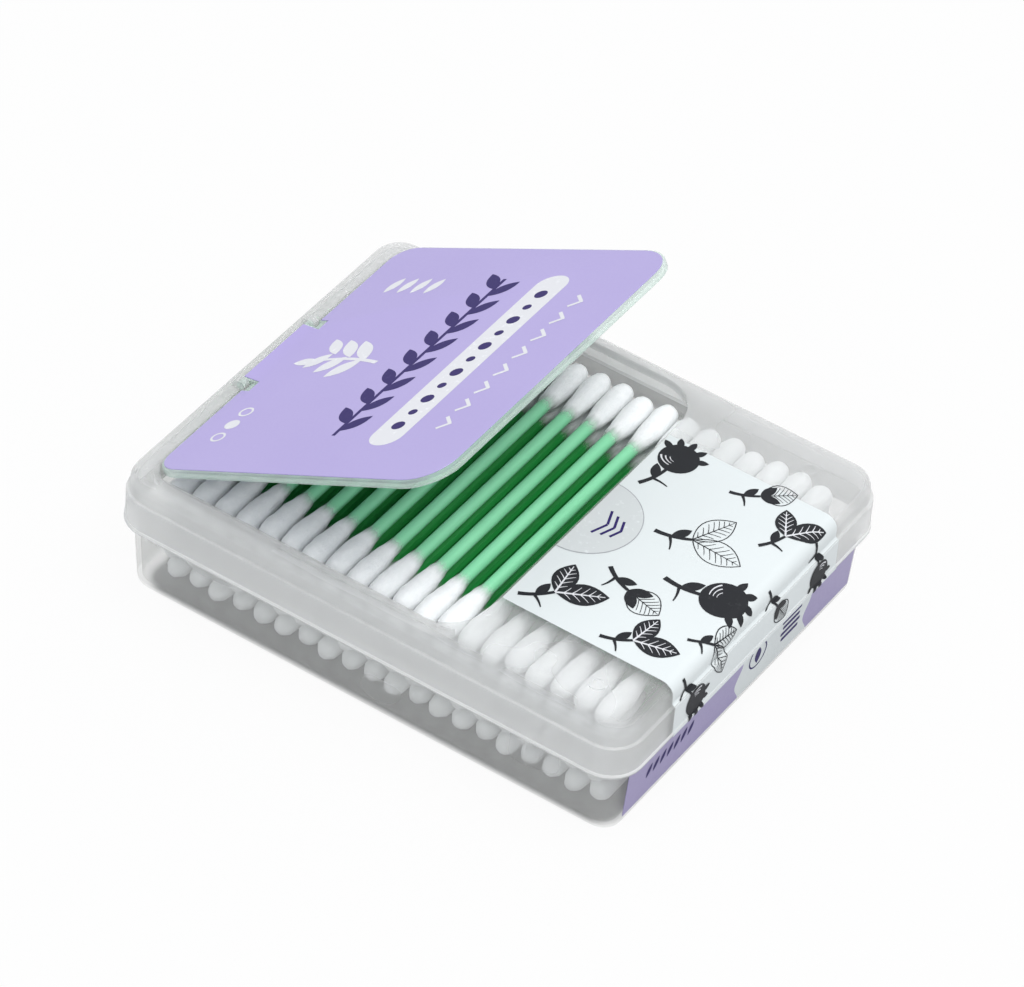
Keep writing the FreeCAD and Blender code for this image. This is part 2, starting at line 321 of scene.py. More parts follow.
# Darker copy of the stem plastic for the lower layers: painted shade, standing in for the shade down between
# the upper swabs.
SHADED_STEM = material("stem_plastic_painted_shade", stem_plastic(colour(0.024, 0.35, 0.072), colour(0.016, 0.30, 0.055)))
LILAC = material("lilac_label", label_paper(colour(0.345, 0.295, 0.55), colour(0.32, 0.27, 0.525)))
WHITE_INK = material("white_print", ink(colour(0.58, 0.585, 0.61)))
VIOLET_INK = material("violet_print", ink(colour(0.022, 0.012, 0.10)))
BLACK_INK = material("black_print", ink(colour(0.012, 0.013, 0.016)))
GREY_INK = material("grey_print", ink(colour(0.30, 0.31, 0.33)))
PALE_INK = material("pale_print", ink(colour(0.50, 0.525, 0.53)))


# Mesh helpers

# Edges sharper than this, in radians, are shaded as edges
SHARP_ANGLE = 0.6


def piece(name, bm, materials, body, nodes=(), smooth=SHARP_ANGLE):
    bmesh.ops.recalc_face_normals(bm, faces=bm.faces)
    mesh = bpy.data.meshes.new(name)
    bm.transform(Matrix.Scale(MM, 4))
    bm.to_mesh(mesh)
    bm.free()
    for made in materials:
        mesh.materials.append(made)
    for polygon in mesh.polygons:
        polygon.use_smooth = True
    mesh.set_sharp_from_angle(angle=smooth)
    made = bpy.data.objects.new(name, mesh)
    bpy.context.scene.collection.objects.link(made)
    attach(made, body)
    if nodes:
        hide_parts(*nodes)
    return made


def outline(x0, x1, half_y, rear, front, z, steps=7):
    # Points round a level rounded outline; rear and front are its corner radii.
    points = []
    corners = ((x1, 1, front), (x0, 1, rear), (x0, -1, rear), (x1, -1, front))
    for quarter_turn, (x, side, radius) in enumerate(corners):
        inward = -1 if x == x1 else 1
        for step in range(steps + 1):
            turn = math.pi / 2 * (quarter_turn + step / steps)
            points.append(Vector((x + inward * radius + radius * math.cos(turn),
                                  side * (half_y - radius) + radius * math.sin(turn), z)))
    return points


def box_outline(inset, z):
    radius = CORNER - inset
    return outline(inset - COVER_X, COVER_X - inset, COVER_Y - inset, radius, radius, z)


def opening_outline(grow, z):
    return outline(OPENING[0] - grow, OPENING[1] + grow, OPENING[2] + grow, REAR_CORNER + grow,
                   FRONT_CORNER + grow, z)


def skin(bm, rings, closed=False):
    # Extrudes a loop through the given rings; the two ends are capped unless it closes on itself.
    verts = bmesh.ops.create_circle(bm, cap_ends=not closed, segments=len(rings[0]), radius=1.0)["verts"]
    order = {vert: i for i, vert in enumerate(verts)}
    edges = list(dict.fromkeys(edge for vert in verts for edge in vert.link_edges))
    for vert in verts:
        vert.co = rings[0][order[vert]]
    for ring in rings[1:] + (rings[:1] if closed else []):
        made = bmesh.ops.extrude_edge_only(bm, edges=edges)["geom"]
        edges = [item for item in made if isinstance(item, bmesh.types.BMEdge)]
        fresh = {}
        for vert in (item for item in made if isinstance(item, bmesh.types.BMVert)):
            old = [edge.other_vert(vert) for edge in vert.link_edges if edge.other_vert(vert) in order][0]
            fresh[vert] = order[old]
            vert.co = ring[order[old]]
        order = fresh
    if closed:
        bmesh.ops.remove_doubles(bm, verts=bm.verts, dist=0.0001)
    else:
        bmesh.ops.contextual_create(bm, geom=edges)


def quarter(inset, z, radius, drop, steps=5):
    # Rounded edge from a level face at z to the wall at the given inset.
    turns = [math.pi / 2 * i / steps for i in range(steps + 1)]
    return [(inset + radius * (1 - math.sin(t)), z - drop * radius * (1 - math.cos(t))) for t in turns]


def boolean(target, operation, bm_cutter):
    # Cuts a mesh object by, or fuses it with, the given mesh.
    mesh = bpy.data.meshes.new("cutter")
    bmesh.ops.recalc_face_normals(bm_cutter, faces=bm_cutter.faces)
    bm_cutter.transform(Matrix.Scale(MM, 4))
    bm_cutter.to_mesh(mesh)
    bm_cutter.free()
    cutter = bpy.data.objects.new("cutter", mesh)
    bpy.context.scene.collection.objects.link(cutter)
    modifier = target.modifiers.new("cut", "BOOLEAN")
    modifier.operation = operation
    modifier.solver = "EXACT"
    modifier.object = cutter
    bpy.context.view_layer.update()
    result = bpy.data.meshes.new_from_object(target.evaluated_get(bpy.context.evaluated_depsgraph_get()))
    target.modifiers.clear()
    target.data = result
    bpy.data.objects.remove(cutter)


def block(bm, x0, x1, y0, y1, z0, z1):
    verts = bmesh.ops.create_cube(bm, size=1.0)["verts"]
    for vert in verts:
        vert.co = Vector((x0 if vert.co.x < 0 else x1,
                          y0 if vert.co.y < 0 else y1,
                          z0 if vert.co.z < 0 else z1))
    return verts


def rod(bm, x, z, radius, y0, y1, segments=24):
    made = bmesh.ops.create_cone(bm, cap_ends=True, segments=segments, radius1=radius, radius2=radius,
                                 depth=y1 - y0)["verts"]
    turn = Matrix.Rotation(math.pi / 2, 4, "X")
    for vert in made:
        vert.co = turn @ vert.co + Vector((x, (y0 + y1) / 2, z))


def stand(bm, x, y, z):
    # Turns a rod along Y upright and puts its foot level at a place.
    bm.transform(Matrix.Rotation(math.pi / 2, 4, "X"))
    bm.transform(Matrix.Translation((x, y, z)))


# Tray and cover

def tray_inset(z):
    # How far the tray's outer wall lies behind the cover's side at a height.
    return TRAY_INSET + TRAY_DRAFT * (TRAY_Z - z) / TRAY_Z


def make_tray():
    bm = bmesh.new()
    outside = quarter(tray_inset(0), 0.0, TRAY_ROUND, -1)
    inside = quarter(tray_inset(TRAY_WALL) + TRAY_WALL, TRAY_WALL, TRAY_WALL, -1)
    inner = TRAY_INSET + TRAY_WALL
    rim = [(TRAY_INSET, TRAY_Z - RIM_EDGE), (TRAY_INSET + RIM_EDGE, TRAY_Z),
           (inner - RIM_EDGE, TRAY_Z), (inner, TRAY_Z - RIM_EDGE)]
    skin(bm, [box_outline(inset, z) for inset, z in outside + rim + inside[::-1]])
    piece("tray_shell", bm, [FROST_TRAY], "box", ["base_tray"])


def cover_rings():
    # From the opening's edge over the top and down the skirt, then up inside to the opening again.
    top = quarter(STEP, COVER_Z, TOP_ROUND, 1)
    step = [(STEP, STEP_Z + 0.35), (STEP - 0.1, STEP_Z + 0.08), (STEP - 0.35, STEP_Z),
            (0.3, STEP_Z), (0.08, STEP_Z - 0.1), (0.0, STEP_Z - 0.35)]
    lip = [(0.0, SKIRT_Z + 0.95), (-0.2, SKIRT_Z + 0.8), (-LIP_DEPTH, SKIRT_Z + 0.65),
           (-LIP_DEPTH, SKIRT_Z + 0.2), (-0.1, SKIRT_Z)]
    inside = [(WALL - 0.1, SKIRT_Z), (WALL, SKIRT_Z + 0.15), (WALL, TRAY_Z), (STEP + WALL, TRAY_Z)]
    inside += quarter(STEP + WALL, COVER_Z - WALL, TOP_ROUND - WALL, 1)[::-1]
    rings = [opening_outline(0.0, COVER_Z - 0.25), opening_outline(0.08, COVER_Z - 0.08),
             opening_outline(0.25, COVER_Z)]
    rings += [box_outline(inset, z) for inset, z in top + step + lip + inside]
    return rings + [opening_outline(0.0, COVER_Z - WALL)]


def add_ledges(cover):
    # Ledges under the two long edges of the opening, for the flap to lie on.
    bm = bmesh.new()
    high = COVER_Z - LEDGE_DROP
    low = high - LEDGE_THICKNESS
    hold = COVER_Z - 0.5
    skin(bm, [opening_outline(WALL, low), opening_outline(WALL, hold), opening_outline(0.0, hold),
              opening_outline(0.0, high), opening_outline(-LEDGE_WIDTH, high),
              opening_outline(-LEDGE_WIDTH, low)], closed=True)
    ledges = piece("ledges", bm, [FROST_COVER], "box")
    between = bmesh.new()
    block(between, OPENING[0] - 20, OPENING[1] + 20, LEDGE_WIDTH - OPENING[2], OPENING[2] - LEDGE_WIDTH,
          0, COVER_Z + 9)
    boolean(ledges, "DIFFERENCE", between)
    fuse = bmesh.new()
    fuse.from_mesh(ledges.data)
    fuse.transform(Matrix.Scale(1000.0, 4))
    bpy.data.objects.remove(ledges)
    boolean(cover, "UNION", fuse)


def add_lug(cover, side):
    # Round eye that holds one end of the flap's pin, and the foot it stands on.
    lug_y = sorted((side * LUG_Y, side * LUG_END))
    lug = bmesh.new()
    rod(lug, HINGE_X, HINGE_Z, LUG_RADIUS, *lug_y)
    boolean(cover, "UNION", lug)
    foot = bmesh.new()
    block(foot, HINGE_X - LUG_RADIUS, OPENING[0] + 0.2, *lug_y, COVER_Z - 0.6, HINGE_Z)
    boolean(cover, "UNION", foot)


def add_pip(cover, side):
    # Small moulded ring near a corner of the solid end.
    ring = bmesh.new()
    rod(ring, 0, 0, PIP_RADIUS, -0.5, PIP_RISE, 32)
    stand(ring, PIP_X, side * PIP_Y, COVER_Z)
    boolean(cover, "UNION", ring)
    hollow = bmesh.new()
    rod(hollow, 0, 0, PIP_HOLLOW, 0.0, 0.9, 32)
    stand(hollow, PIP_X, side * PIP_Y, COVER_Z)
    boolean(cover, "DIFFERENCE", hollow)


def make_cover():
    bm = bmesh.new()
    skin(bm, cover_rings(), closed=True)
    cover = piece("cover_shell", bm, [FROST_COVER], "box", ["cover"])
    add_ledges(cover)
    notch = bmesh.new()
    block(notch, HINGE_X - PIN_RADIUS - NOTCH_GAP, HINGE_X + LUG_RADIUS + 0.3, -LUG_Y, LUG_Y,
          COVER_Z - WALL - 1, COVER_Z + 1)
    boolean(cover, "DIFFERENCE", notch)
    for side in (-1, 1):
        add_lug(cover, side)
        add_pip(cover, side)
    cover.data.set_sharp_from_angle(angle=SHARP_ANGLE)


# Flap

def flap_outline(inset, z):
    return opening_outline(-FLAP_GAP - inset, z)


def flap_turn(scale):
    # The flap's pieces are drawn shut and turned about the pin; scale is that of the mesh.
    pin = Matrix.Translation((HINGE_X * scale, 0, HINGE_Z * scale))
    return pin @ Matrix.Rotation(-OPEN_ANGLE, 4, "Y") @ pin.inverted()


def turn_mesh(made):
    made.data.transform(flap_turn(MM))
    made.data.set_sharp_from_angle(angle=SHARP_ANGLE)


def make_flap():
    low = COVER_Z - FLAP_RIM
    bm = bmesh.new()
    skin(bm, [flap_outline(inset, z) for inset, z in
              ((FLAP_RIM_WALL, COVER_Z - FLAP_PLATE), (FLAP_RIM_WALL, low + 0.1), (FLAP_RIM_WALL - 0.1, low),
               (0.1, low), (0.0, low + 0.1), (0.0, COVER_Z - 0.3), (0.08, COVER_Z - 0.08), (0.3, COVER_Z))])
    flap = piece("flap_shell", bm, [FROST_FLAP], "flap", ["flap"])
    for side in (-1, 1):
        slot_y = sorted((side * TAB_Y, side * (LUG_END + 0.3)))
        slot = bmesh.new()
        block(slot, OPENING[0] - 3, HINGE_X + LUG_RADIUS + 0.3, *slot_y, low - 1, COVER_Z + 1)
        boolean(flap, "DIFFERENCE", slot)
    tab = bmesh.new()
    for vert in block(tab, HINGE_X, HINGE_X + TAB_RAMP, -TAB_Y, TAB_Y, COVER_Z - FLAP_PLATE, COVER_Z):
        if vert.co.x < HINGE_X + 1:
            vert.co.z = HINGE_Z + PIN_RADIUS if vert.co.z > COVER_Z - 0.5 else HINGE_Z
    boolean(flap, "UNION", tab)
    pin = bmesh.new()
    rod(pin, HINGE_X, HINGE_Z, PIN_RADIUS, -LUG_Y - PIN_REACH, LUG_Y + PIN_REACH)
    boolean(flap, "UNION", pin)
    turn_mesh(flap)


def make_flap_label():
    bm = bmesh.new()
    skin(bm, [flap_outline(inset, COVER_Z + rise * LABEL_THICKNESS) for inset, rise in
              ((LABEL_MARGIN, 0.0), (LABEL_MARGIN, 0.6), (LABEL_MARGIN + 0.06, 1.0))])
    sheet = piece("flap_label_sheet", bm, [LILAC], "flap", ["flap_label"])
    cut = bmesh.new()
    block(cut, OPENING[0] - 1, HINGE_X + TAB_RAMP, -LUG_END - 0.8, LUG_END + 0.8, COVER_Z - 1, COVER_Z + 1)
    boolean(sheet, "DIFFERENCE", cut)
    strap = bmesh.new()
    strap_y = TAB_Y - LABEL_MARGIN
    for vert in block(strap, HINGE_X, HINGE_X + TAB_RAMP, -strap_y, strap_y, 0, 1):
        under = HINGE_Z + PIN_RADIUS if vert.co.x < HINGE_X + 1 else COVER_Z
        vert.co.z = under + LABEL_THICKNESS * vert.co.z
    boolean(sheet, "UNION", strap)
    turn_mesh(sheet)


# Front label: a profile in X and Z, carried across Y, on the cover and on the tray's wall

def label_profile():
    points = [(OPENING[1] + LABEL_MARGIN, COVER_Z + LABEL_LIFT)]
    bend = quarter(STEP, COVER_Z, TOP_ROUND, 1)
    points += [(COVER_X - inset + LABEL_LIFT, z + LABEL_LIFT) for inset, z in bend]
    points += [(COVER_X - STEP + LABEL_LIFT, STEP_Z + 0.4), (COVER_X - STEP + 0.25, STEP_Z + 0.08),
               (COVER_X - 0.3, STEP_Z + LABEL_LIFT), (COVER_X - 0.02, STEP_Z - 0.2),
               (COVER_X + LABEL_LIFT, STEP_Z - 0.5), (COVER_X + LABEL_LIFT, SKIRT_Z + 1.0)]
    lip_x = COVER_X + LIP_DEPTH + LABEL_LIFT
    points += [(lip_x, SKIRT_Z + 0.65), (lip_x, SKIRT_Z + 0.02)]
    bridge_z = SKIRT_Z - LABEL_BRIDGE
    bridge_x = COVER_X - tray_inset(bridge_z)
    points += [(bridge_x + 0.25, bridge_z + 0.3), (bridge_x + LABEL_LIFT, bridge_z),
               (COVER_X - tray_inset(WALL_LABEL_BOTTOM) + LABEL_LIFT, WALL_LABEL_BOTTOM)]
    return [Vector((x, 0, z)) for x, z in points]


PROFILE = label_profile()
LENGTHS = [0.0]
for near, far in zip(PROFILE, PROFILE[1:]):
    LENGTHS.append(LENGTHS[-1] + (far - near).length)
WALL_START = LENGTHS[-2] * MM


def on_label(s, y, lift):
    # Place on the front label from the length along its profile, the place across and the height.
    s = min(max(s, 0.0), LENGTHS[-1])
    i = max(k for k in range(len(LENGTHS) - 1) if LENGTHS[k] <= s or k == 0)
    direction = (PROFILE[i + 1] - PROFILE[i]).normalized()
    normal = Vector((-direction.z, 0, direction.x))
    normal = normal if normal.x + normal.z > 0 else -normal
    return PROFILE[i] + direction * (s - LENGTHS[i]) + normal * lift + Vector((0, y, 0))


def make_front_label():
    bm = bmesh.new()
    layer = bm.loops.layers.uv.new("UVMap")
    wall = LENGTHS[-2]
    for start, end, half in ((0.0, wall, FRONT_LABEL_HALF), (wall, LENGTHS[-1], WALL_LABEL_HALF)):
        grid = bmesh.ops.create_grid(bm, x_segments=1, y_segments=12, size=1.0)["verts"]
        for vert in grid:
            vert.co = Vector((start if vert.co.x < 0 else end, vert.co.y * half, 0))
    for length in LENGTHS[1:-1]:
        bmesh.ops.bisect_plane(bm, geom=bm.verts[:] + bm.edges[:] + bm.faces[:],
                               plane_co=(length, 0, 0), plane_no=(1, 0, 0))
    for face in bm.faces:
        for loop in face.loops:
            loop[layer].uv = (loop.vert.co.x * MM, loop.vert.co.y * MM)
    for vert in bm.verts:
        vert.co = on_label(vert.co.x, vert.co.y, 0.0)
    bmesh.ops.remove_doubles(bm, verts=bm.verts, dist=0.001)
    bmesh.ops.recalc_face_normals(bm, faces=bm.faces)
    bmesh.ops.solidify(bm, geom=bm.faces[:], thickness=FRONT_LABEL_THICKNESS)
    printed = material("front_label_print", wall_print)
    piece("front_label_sheet", bm, [printed], "box", ["front_label"])


# Print: flat marks, laid out in millimetres along and across a sheet, then placed on it

# The front label's two inks
DARK, LIGHT = 0, 1


class Print:
    # Each mark takes one of the sheet's inks by its index and lies a little above the mark before it.
    def __init__(self):
        self.bm = bmesh.new()
        self.height = 0.0

    def place(self, verts, x, y, angle, index, level):
        turn = Matrix.Rotation(angle, 4, "Z")
        faces = set()
        for vert in verts:
            vert.co = turn @ vert.co + Vector((x, y, level + self.height))
            faces.update(vert.link_faces)
        self.height += 0.0003
        for face in faces:
            face.material_index = index

    def rim(self, face, width):
        # Leaves only a band of this width along the face's edge.
        band = bmesh.ops.inset_region(self.bm, faces=[face], thickness=width, use_boundary=True)["faces"]
        bmesh.ops.delete(self.bm, geom=[face], context="FACES_ONLY")
        return list({vert for part in band for vert in part.verts})

    def leaf(self, x, y, angle, length, width, index=0, level=0.0, outline_width=0.0):
        # Pointed oval from its foot at (x, y).
        made = bmesh.ops.create_circle(self.bm, cap_ends=True, segments=28, radius=1.0)["verts"]
        for vert in made:
            along, across = vert.co.x, vert.co.y
            vert.co = Vector(((along + 1) / 2 * length, across * abs(across) * width / 2, 0))
        if outline_width:
            made = self.rim(made[0].link_faces[0], outline_width)
        self.place(made, x, y, angle, index, level)

    def dot(self, x, y, radius, index=0, level=0.0, ring=0.0):
        made = bmesh.ops.create_circle(self.bm, cap_ends=True, segments=28, radius=radius)["verts"]
        if ring:
            made = self.rim(made[0].link_faces[0], ring)
        self.place(made, x, y, 0.0, index, level)

    def stroke(self, x, y, angle, length, width, bend=0.0, index=0, level=0.0, taper=0.6):
        # Line that starts at (x, y), turns by bend on its way and narrows.
        made = bmesh.ops.create_grid(self.bm, x_segments=12, y_segments=1, size=1.0)["verts"]
        for vert in made:
            t = (vert.co.x + 1) / 2
            turn = angle + bend * t / 2
            half = width / 2 * (1 - taper * t)
            centre = Vector((math.cos(turn), math.sin(turn), 0)) * length * t
            heading = turn + bend * t / 2
            across = Vector((-math.sin(heading), math.cos(heading), 0))
            vert.co = centre + across * half * math.copysign(1, vert.co.y)
        self.place(made, x, y, 0.0, index, level)
        turn = angle + bend / 2
        return x + math.cos(turn) * length, y + math.sin(turn) * length, angle + bend

    def band(self, x0, x1, half_y, y, radius, index=0):
        points = outline(x0, x1, half_y, radius, radius, 0.0, 8)
        made = bmesh.ops.create_circle(self.bm, cap_ends=True, segments=len(points), radius=1.0)["verts"]
        for vert, point in zip(made, points):
            vert.co = point
        self.place(made, 0, y, 0.0, index, 0.0)

    def veined_leaf(self, x, y, angle, length, width):
        self.leaf(x, y, angle, length, width)
        self.stroke(x, y, angle, length * 0.92, width * 0.06 + 0.12, 0.0, LIGHT, 0.0008)
        for i in range(1, 6):
            t = i / 6.5
            foot = (x + math.cos(angle) * length * t, y + math.sin(angle) * length * t)
            reach = width * 0.42 * math.sin(math.pi * min(1.0, t + 0.12)) + 0.2
            for side in (-1, 1):
                self.stroke(foot[0], foot[1], angle + side * 0.75, reach, 0.2, 0.2 * side, LIGHT, 0.0008)

    def drawn_leaf(self, x, y, angle, length, width):
        self.leaf(x, y, angle, length, width, DARK, 0.0, 0.2)
        self.stroke(x, y, angle, length * 0.95, 0.25)
        for i in range(1, 8):
            t = i / 8.5
            foot = (x + math.cos(angle) * length * t, y + math.sin(angle) * length * t)
            reach = width * 0.45 * math.sin(math.pi * min(1.0, t + 0.08))
            for side in (-1, 1):
                self.stroke(foot[0], foot[1], angle + side * 0.8, reach, 0.16, 0.25 * side, DARK, 0.0, 0.3)

    def fruit(self, x, y, radius, angle):
        # Dark fruit with three light streaks and a crown of small sepals.
        self.dot(x, y, radius)
        for i in range(3):
            reach = radius * (0.86 - 0.22 * i)
            self.stroke(x + reach * math.cos(angle + 1.9), y + reach * math.sin(angle + 1.9), angle + 3.7,
                        reach * 0.9, 0.34 - 0.08 * i, 1.1, LIGHT, 0.0008, 0.5)
        for i in range(5):
            turn = angle + 0.55 * (i - 2)
            self.leaf(x + radius * 0.7 * math.cos(turn), y + radius * 0.7 * math.sin(turn), turn,
                      radius * 0.75, radius * 0.36)

    def finish(self, name, materials, body, placing, breaks=()):
        bm = self.bm
        for length in breaks:
            bmesh.ops.bisect_plane(bm, geom=bm.verts[:] + bm.edges[:] + bm.faces[:],
                                   plane_co=(length, 0, 0), plane_no=(1, 0, 0))
        bmesh.ops.recalc_face_normals(bm, faces=bm.faces)
        for face in bm.faces:
            if face.normal.z < 0:
                face.normal_flip()
        for vert in bm.verts:
            vert.co = placing(vert.co)
        mesh = bpy.data.meshes.new(name)
        bm.transform(Matrix.Scale(MM, 4))
        bm.to_mesh(mesh)
        bm.free()
        for made in materials:
            mesh.materials.append(made)
        made = bpy.data.objects.new(name, mesh)
        bpy.context.scene.collection.objects.link(made)
        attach(made, body)


# Sprigs set apart on the front label: length along it, place across, turn, size and what the sprig bears
SPRIGS = ((2.5, 12.5, 1.0, 1.0, "fruit"), (16.5, 20.5, 0.2, 0.85, "bud"),
          (11.5, 4.0, 0.05, 1.05, "outlines"), (1.5, -24.0, 0.45, 1.0, "leaves"),
          (10.5, -8.5, -0.75, 1.0, "bud"), (19.5, -5.0, -0.2, 1.15, "fruit"),
          (18.5, -24.0, 0.2, 0.9, "leaves"), (28.0, 12.0, 0.85, 0.85, "leaves"),
          (35.5, 4.5, 0.1, 0.75, "bud"), (31.0, -15.5, 0.3, 0.75, "outlines"),
          (35.5, 20.0, -0.3, 0.75, "fruit"), (35.5, -23.0, 0.1, 0.8, "fruit"))


def make_front_print():
    sheet = Print()
    for x, y, angle, size, bears in SPRIGS:
        end_x, end_y, turn = sheet.stroke(x, y, angle, 6.5 * size, 0.9 * size, 0.5, DARK, 0.0, 0.3)
        fork_x = x + math.cos(angle) * 3.0 * size
        fork_y = y + math.sin(angle) * 3.0 * size
        sheet.stroke(fork_x, fork_y, angle - 0.9, 3.0 * size, 0.6, -0.4)
        sheet.leaf(fork_x, fork_y, angle + 1.0, 4.2 * size, 1.9 * size)
        if bears == "fruit":
            reach = 3.4 * size
            sheet.fruit(end_x + reach * math.cos(turn), end_y + reach * math.sin(turn), 3.8 * size, turn)
        elif bears == "bud":
            sheet.drawn_leaf(end_x, end_y, turn, 8.0 * size, 6.4 * size)
            sheet.leaf(end_x, end_y, turn + 0.55, 4.6 * size, 2.2 * size)
            sheet.leaf(end_x, end_y, turn - 0.55, 4.6 * size, 2.2 * size)
        elif bears == "leaves":
            sheet.veined_leaf(end_x, end_y, turn - 0.45, 9.5 * size, 5.4 * size)
            sheet.veined_leaf(end_x, end_y, turn + 0.75, 8.0 * size, 4.6 * size)
        else:
            sheet.drawn_leaf(end_x, end_y, turn - 0.6, 10.0 * size, 5.8 * size)
            sheet.drawn_leaf(end_x, end_y, turn + 0.6, 9.0 * size, 5.2 * size)
    sheet.finish("front_label_ink", [BLACK_INK, WHITE_INK], "box",
                 lambda co: on_label(co.x, co.y, INK_LIFT + co.z), LENGTHS[1:-1])


def make_wall_print():
    sheet = Print()
    start = LENGTHS[-2]
    # Leaf in a ring, a stack of bars and a row of slanting leaves
    sheet.dot(start + 4.2, 5.0, 2.9, 0, 0.0, 0.35)
    sheet.leaf(start + 6.2, 5.0, math.pi, 4.0, 2.0)
    for i in range(4):
        sheet.band(start + 2.2 + i * 1.5, start + 3.0 + i * 1.5, 3.2 - 0.4 * (i % 2), 16.0, 0.3)
    for i in range(7):
        sheet.leaf(start + 6.6, -30.5 + i * 2.2, math.pi - 0.5, 3.2, 1.2)
    sheet.finish("wall_label_ink", [VIOLET_INK], "box",
                 lambda co: on_label(co.x, co.y, INK_LIFT + co.z))


def make_press_mark():
    # Half round pale field at the opening's edge, with a thin ring and three pairs of small strokes.
    sheet = Print()
    pale, grey, violet = 0, 1, 2
    made = bmesh.ops.create_circle(sheet.bm, cap_ends=True, segments=64, radius=10.0)["verts"]
    field = made[0].link_faces[0]
    field.material_index = pale
    ring = bmesh.ops.inset_region(sheet.bm, faces=[field], thickness=0.18, use_boundary=True)["faces"]
    for face in ring:
        face.material_index = grey
    bmesh.ops.bisect_plane(sheet.bm, geom=sheet.bm.verts[:] + sheet.bm.edges[:] + sheet.bm.faces[:],
                           plane_co=(0.05, 0, 0), plane_no=(-1, 0, 0), clear_outer=True)
    for i in range(3):
        for side in (-1, 1):
            slant = side * (0.35 - math.pi / 2)
            sheet.stroke(3.0 + 1.6 * i, side * (3.4 - 0.5 * i), slant, 3.6 - 0.5 * i, 0.5, 0.0, violet,
                         0.012, 0.0)
    sheet.finish("press_mark", [PALE_INK, GREY_INK, VIOLET_INK], "box",
                 lambda co: on_label(co.x, co.y, 0.055 + co.z))


def make_flap_print():
    sheet = Print()
    edge = OPENING[0] + 0.9
    white, violet = 0, 1
    # White band across the flap with a row of violet dots
    sheet.band(edge + 41.0, edge + 48.0, 28.5, 0.5, 3.45, white)
    for i in range(11):
        sheet.dot(edge + 44.5, -21.5 + 4.4 * i, 0.9 if i % 2 else 1.3, violet, 0.003)
    # Garland of violet leaves beside the band
    garland = edge + 32.5
    sheet.stroke(garland, -25.5, math.pi / 2, 53.0, 0.8, 0.0, violet, 0.0, 0.0)
    for i in range(8):
        y = -24.0 + 6.5 * i
        sheet.leaf(garland, y, 0.9, 6.6, 2.7, violet, 0.001)
        sheet.leaf(garland, y + 2.4, math.pi - 0.9, 6.6, 2.7, violet, 0.002)
    # White sprig near the hinge
    sprig = edge + 24.0
    tip_x, tip_y, tip_turn = sheet.stroke(sprig, -1.5, math.pi - 0.25, 14.0, 1.0, 0.5, white, 0.0, 0.3)
    for i, (t, side) in enumerate(((0.25, 1), (0.3, -1), (0.55, 1), (0.6, -1), (0.85, 1), (0.9, -1))):
        sheet.leaf(sprig - 13.5 * t, -1.5 + 2.6 * t, math.pi - side * 0.95, 8.4 - 2.6 * t, 3.3 - 0.8 * t,
                   white, 0.001 + 0.001 * i)
    sheet.leaf(tip_x, tip_y, tip_turn, 5.0, 2.3, white, 0.008)
    # Small marks near the two corners of the hinge side, and a row of chevrons by the free edge
    for i in range(3):
        sheet.dot(edge + 6.8, -27.5 + 4.2 * i, 1.5, white, 0.0, 0.45 if i != 1 else 0.0)
    for i in range(4):
        sheet.leaf(edge + 7.5 + 3.2 * i, 22.0, math.pi / 2 - 0.3, 5.4, 1.9, white)
    for i in range(8):
        y = -22.0 + 5.8 * i
        sheet.stroke(edge + 53.4, y, 0.75, 2.9, 0.7, 0.0, white, 0.0, 0.0)
        sheet.stroke(edge + 55.3, y + 1.8, 2.36, 2.9, 0.7, 0.0, white, 0.001, 0.0)
    turn = flap_turn(1.0)
    level = COVER_Z + LABEL_THICKNESS + 0.01
    sheet.finish("flap_print", [WHITE_INK, VIOLET_INK], "flap",
                 lambda co: turn @ Vector((co.x, co.y, level + co.z)))


# Swabs

# Radius of a cotton end and the distance from its outer end
TIP_PROFILE = ((0.0, 0.0), (0.68, 0.06), (1.28, 0.3), (1.74, 0.8), (2.07, 1.6), (2.26, 2.8), (2.30, 4.1),
               (2.27, 5.7), (2.15, 7.3), (1.96, 8.9), (1.75, 10.5), (1.56, 12.0), (1.43, 13.3), (1.34, 14.5),
               (1.28, 15.5))
EVEN_FROM = 13.2


def spin_profile(bm, points, segments):
    verts = [bm.verts.new((radius, along, 0)) for radius, along in points]
    edges = [bm.edges.new(pair) for pair in zip(verts, verts[1:])]
    bmesh.ops.spin(bm, geom=verts + edges, cent=(0, 0, 0), axis=(0, 1, 0), dvec=(0, 0, 0),
                   angle=2 * math.pi, steps=segments, use_merge=True, use_duplicate=False)
    bmesh.ops.remove_doubles(bm, verts=bm.verts, dist=0.0005)


def tip_mesh(seed, segments, profile):
    # One cotton end along +Y from its outer end at the origin, a little uneven up to its neck.
    bm = bmesh.new()
    spin_profile(bm, profile, segments)
    for vert in bm.verts:
        radius = math.hypot(vert.co.x, vert.co.z)
        if radius < 1e-6 or vert.co.y > EVEN_FROM:
            continue
        push = noise.noise(vert.co * 0.42 + Vector((seed * 7.3, 0, 0))) * 0.22
        push += noise.noise(vert.co * 1.3 + Vector((0, seed * 3.1, 0))) * 0.10
        push = min(push, max(0.0, TIP_RADIUS - radius))
        scale = (radius + push) / radius
        vert.co.x *= scale
        vert.co.z *= scale
    mesh = bpy.data.meshes.new("tip")
    bm.to_mesh(mesh)
    bm.free()
    return mesh


